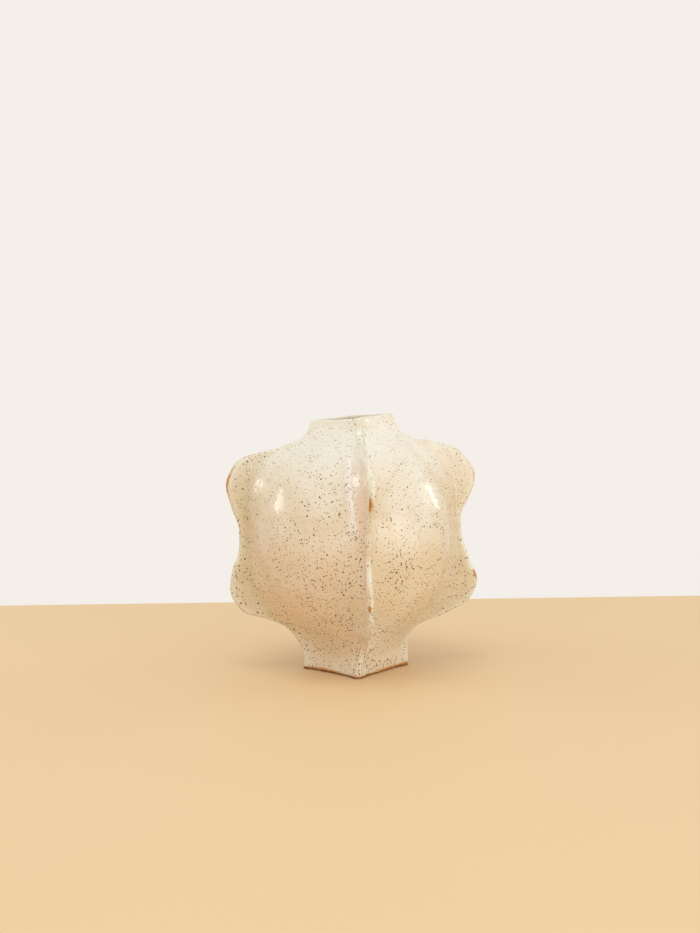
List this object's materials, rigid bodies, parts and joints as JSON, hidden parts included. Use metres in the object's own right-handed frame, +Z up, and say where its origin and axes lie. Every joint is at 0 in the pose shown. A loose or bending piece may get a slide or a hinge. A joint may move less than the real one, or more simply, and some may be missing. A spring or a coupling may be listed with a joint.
{
  "type": "pillow vase",
  "caption": "Hand-built stoneware vase: bulging clay slabs pinched together into scalloped fins on a square foot, with a small square mouth.",
  "frame": {"origin": "middle of the square foot, on the surface that the vase stands on", "axes": "+Z up through the mouth; the panels face -Y, +X, +Y and -X and the fins stand on the diagonals"},
  "size_m": [0.177, 0.177, 0.23],
  "materials": {
    "glazed_stoneware": "glossy translucent cream glaze over iron-speckled buff clay",
    "bare_stoneware": "bare toasted stoneware, dry and matte",
    "inner_glaze": "thin poured cream glaze, satin"
  },
  "bodies": {
    "root": {"front_panel": "glazed_stoneware", "right_panel": "glazed_stoneware", "back_panel": "glazed_stoneware", "left_panel": "glazed_stoneware", "base_slab": "bare_stoneware", "base_coil": "inner_glaze", "front_seam_coil": "inner_glaze", "right_seam_coil": "inner_glaze", "back_seam_coil": "inner_glaze", "left_seam_coil": "inner_glaze"}
  },
  "joints": []
}
